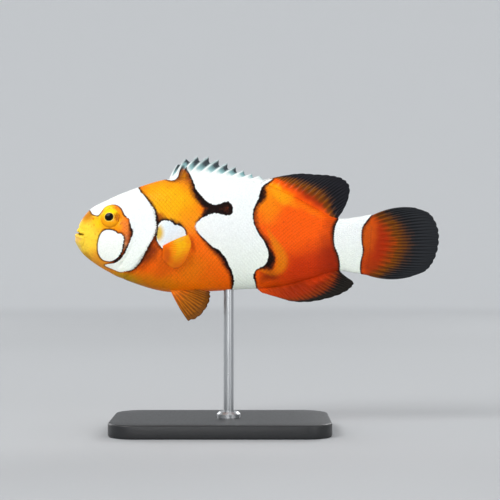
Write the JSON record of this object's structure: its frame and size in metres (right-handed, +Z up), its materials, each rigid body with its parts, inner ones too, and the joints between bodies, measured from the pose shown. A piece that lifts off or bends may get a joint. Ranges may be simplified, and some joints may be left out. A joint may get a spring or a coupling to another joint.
{
  "type": "clownfish model on a stand",
  "caption": "Clownfish with irregular white bars edged in black on an orange body, life size, as a still model held by a rod on a flat base.",
  "frame": {"origin": "middle of the model's footprint, on the surface the stand's base rests on", "axes": "+X from the snout to the tail, +Y to the fish's right side, +Z up"},
  "size_m": [0.08, 0.029, 0.0603],
  "materials": {
    "skin": "wet orange fish skin with white bars edged in black",
    "fin": "thin orange-brown fin membrane over rays, smoky black at the margin",
    "eye": "clear wet eye, golden iris and black pupil",
    "stand_paint": "satin black paint on steel plate",
    "stand_steel": "satin drawn steel rod and collar"
  },
  "bodies": {
    "root": {"head": "skin", "lower_jaw": "skin", "gill_cover_left": "skin", "gill_cover_right": "skin", "trunk": "skin", "tail_stalk": "skin", "eye_left": "eye", "eye_right": "eye", "dorsal_fin_spiny": "fin", "dorsal_fin_soft": "fin", "anal_fin": "fin", "tail_fin": "fin", "pectoral_fin_left": "fin", "pectoral_fin_right": "fin", "pelvic_fin_left": "fin", "pelvic_fin_right": "fin", "stand_base": "stand_paint", "stand_rod": "stand_steel", "stand_collar": "stand_steel"}
  },
  "joints": []
}
